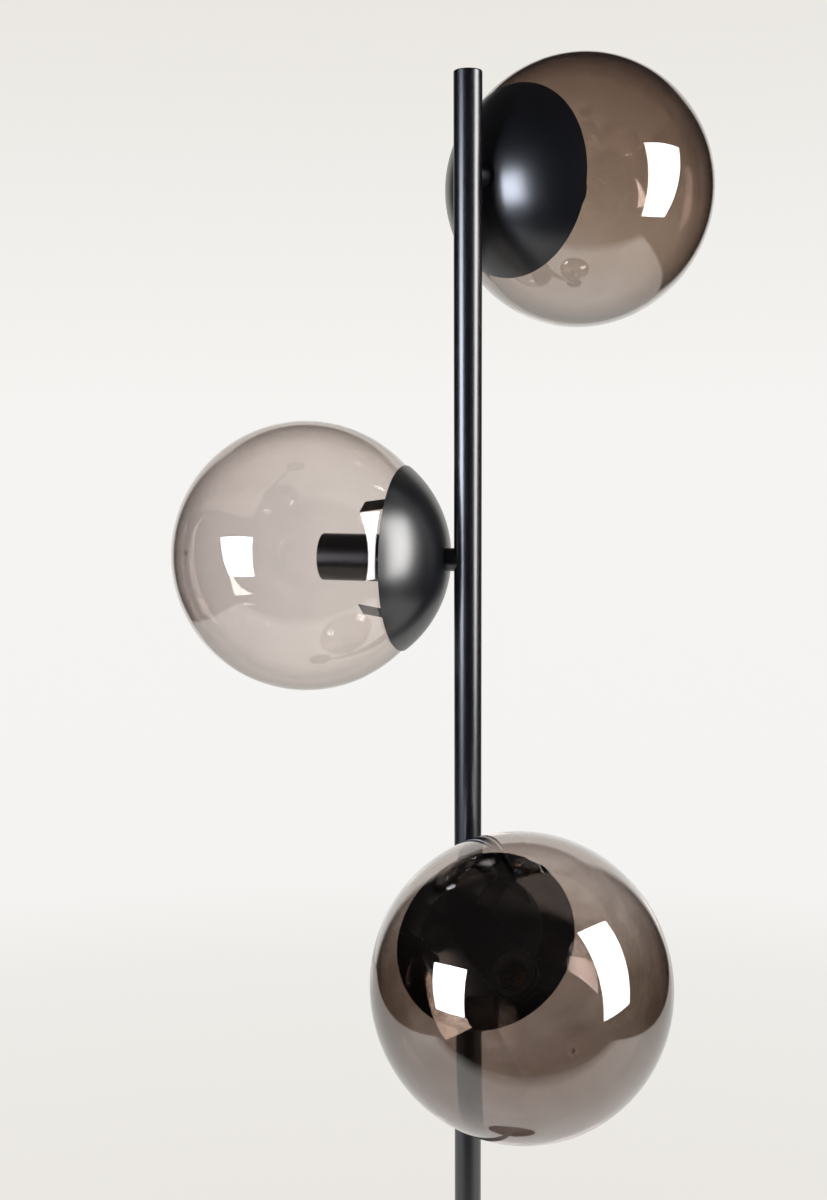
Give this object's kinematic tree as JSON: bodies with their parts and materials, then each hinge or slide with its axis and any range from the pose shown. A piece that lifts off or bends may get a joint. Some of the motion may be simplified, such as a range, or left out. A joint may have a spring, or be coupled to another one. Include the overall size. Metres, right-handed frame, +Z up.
{
  "type": "globe floor lamp",
  "caption": "Black floor lamp: a pole on a round weighted base, with smoked glass globes standing off it on short arms in different directions.",
  "frame": {"origin": "centre of the base's underside, on the floor", "axes": "+Z up the pole; +X and +Y in the floor, with the mains inlet at +Y and the top, middle and low heads pointing 30, 150 and 270 degrees from +X, counter-clockwise seen from above"},
  "size_m": [0.5168, 0.481, 1.799],
  "materials": {
    "black_paint": "satin black paint on steel",
    "smoked_glass": "clear smoked glass, polished",
    "spring_steel": "blackened spring steel",
    "zinc_steel": "zinc plated",
    "brass": "bare brass",
    "phenolic": "moulded black",
    "cast_iron": "as cast",
    "eva_foam": "closed-cell foam",
    "gland_rubber": "moulded",
    "lead_insulation": "smooth insulation"
  },
  "bodies": {
    "stand": {"base_pad": "eva_foam", "base_plate": "zinc_steel", "base_weight": "cast_iron", "base_cover": "black_paint", "cord_gland": "gland_rubber", "base_stud": "zinc_steel", "stud_washer": "zinc_steel", "stud_nut": "zinc_steel", "foot_bush": "zinc_steel", "lower_tube": "black_paint", "joint_spigot": "zinc_steel", "joint_socket": "zinc_steel", "upper_tube": "black_paint", "pole_cap": "black_paint", "wire_connector": "phenolic", "arm_nipples": "zinc_steel", "saddle_nuts": "zinc_steel", "head_spacers": "zinc_steel", "head_washers": "zinc_steel", "head_nuts": "zinc_steel", "top_arm": "black_paint", "top_cup": "black_paint", "top_clip_plate": "spring_steel", "top_socket_sleeve": "black_paint", "top_socket_cap": "phenolic", "top_socket_body": "phenolic", "top_screw_shell": "brass", "top_centre_contact": "brass", "top_lamp_lead": "lead_insulation", "middle_arm": "black_paint", "middle_cup": "black_paint", "middle_clip_plate": "spring_steel", "middle_socket_sleeve": "black_paint", "middle_socket_cap": "phenolic", "middle_socket_body": "phenolic", "middle_screw_shell": "brass", "middle_centre_contact": "brass", "middle_lamp_lead": "lead_insulation", "low_arm": "black_paint", "low_cup": "black_paint", "low_clip_plate": "spring_steel", "low_socket_sleeve": "black_paint", "low_socket_cap": "phenolic", "low_socket_body": "phenolic", "low_screw_shell": "brass", "low_centre_contact": "brass", "low_lamp_lead": "lead_insulation"},
    "top_globe": {"top_globe": "smoked_glass"},
    "top_clip_a": {"top_clip_a": "spring_steel"},
    "top_clip_b": {"top_clip_b": "spring_steel"},
    "top_clip_c": {"top_clip_c": "spring_steel"},
    "middle_globe": {"middle_globe": "smoked_glass"},
    "middle_clip_a": {"middle_clip_a": "spring_steel"},
    "middle_clip_b": {"middle_clip_b": "spring_steel"},
    "middle_clip_c": {"middle_clip_c": "spring_steel"},
    "low_globe": {"low_globe": "smoked_glass"},
    "low_clip_a": {"low_clip_a": "spring_steel"},
    "low_clip_b": {"low_clip_b": "spring_steel"},
    "low_clip_c": {"low_clip_c": "spring_steel"}
  },
  "joints": [
    {"name": "top_globe_pull", "type": "slide", "parent": "stand", "child": "top_globe", "axis": [0.866, 0.5, 0], "range_m": [0, 0.1]},
    {"name": "top_clip_a_flex", "type": "hinge", "parent": "stand", "child": "top_clip_a", "pos_m": [0.02117, 0.0397, 1.72503], "axis": [-0.4532, 0.7849, -0.4226], "range_deg": [0, 5], "stiffness_Nm_per_rad": 1.5},
    {"name": "top_clip_b_flex", "type": "hinge", "parent": "stand", "child": "top_clip_b", "pos_m": [0.06111, -0.02948, 1.66909], "axis": [0.0436, -0.0755, 0.9962], "range_deg": [0, 5], "stiffness_Nm_per_rad": 1.5},
    {"name": "top_clip_c_flex", "type": "hinge", "parent": "stand", "child": "top_clip_c", "pos_m": [0.01692, 0.04706, 1.62788], "axis": [0.4096, -0.7094, -0.5736], "range_deg": [0, 5], "stiffness_Nm_per_rad": 1.5},
    {"name": "middle_globe_pull", "type": "slide", "parent": "stand", "child": "middle_globe", "axis": [-0.866, 0.5, 0], "range_m": [0, 0.1]},
    {"name": "middle_clip_a_flex", "type": "hinge", "parent": "stand", "child": "middle_clip_a", "pos_m": [-0.04496, -0.00152, 1.38803], "axis": [-0.4532, -0.7849, -0.4226], "range_deg": [0, 5], "stiffness_Nm_per_rad": 1.5},
    {"name": "middle_clip_b_flex", "type": "hinge", "parent": "stand", "child": "middle_clip_b", "pos_m": [-0.00502, 0.06766, 1.33209], "axis": [0.0436, 0.0755, 0.9962], "range_deg": [0, 5], "stiffness_Nm_per_rad": 1.5},
    {"name": "middle_clip_c_flex", "type": "hinge", "parent": "stand", "child": "middle_clip_c", "pos_m": [-0.04921, -0.00888, 1.29088], "axis": [0.4096, 0.7094, -0.5736], "range_deg": [0, 5], "stiffness_Nm_per_rad": 1.5},
    {"name": "low_globe_pull", "type": "slide", "parent": "stand", "child": "low_globe", "axis": [0, -1, 0], "range_m": [0, 0.1]},
    {"name": "low_clip_a_flex", "type": "hinge", "parent": "stand", "child": "low_clip_a", "pos_m": [0.02379, -0.03818, 1.05103], "axis": [0.9063, 0, -0.4226], "range_deg": [0, 5], "stiffness_Nm_per_rad": 1.5},
    {"name": "low_clip_b_flex", "type": "hinge", "parent": "stand", "child": "low_clip_b", "pos_m": [-0.05609, -0.03818, 0.99509], "axis": [-0.0872, 0, 0.9962], "range_deg": [0, 5], "stiffness_Nm_per_rad": 1.5},
    {"name": "low_clip_c_flex", "type": "hinge", "parent": "stand", "child": "low_clip_c", "pos_m": [0.03229, -0.03818, 0.95388], "axis": [-0.8192, 0, -0.5736], "range_deg": [0, 5], "stiffness_Nm_per_rad": 1.5}
  ],
  "couplings": [
    {"joint": "top_clip_b_flex", "follows": "top_clip_a_flex", "ratio": 1},
    {"joint": "top_clip_c_flex", "follows": "top_clip_a_flex", "ratio": 1},
    {"joint": "middle_clip_b_flex", "follows": "middle_clip_a_flex", "ratio": 1},
    {"joint": "middle_clip_c_flex", "follows": "middle_clip_a_flex", "ratio": 1},
    {"joint": "low_clip_b_flex", "follows": "low_clip_a_flex", "ratio": 1},
    {"joint": "low_clip_c_flex", "follows": "low_clip_a_flex", "ratio": 1}
  ]
}
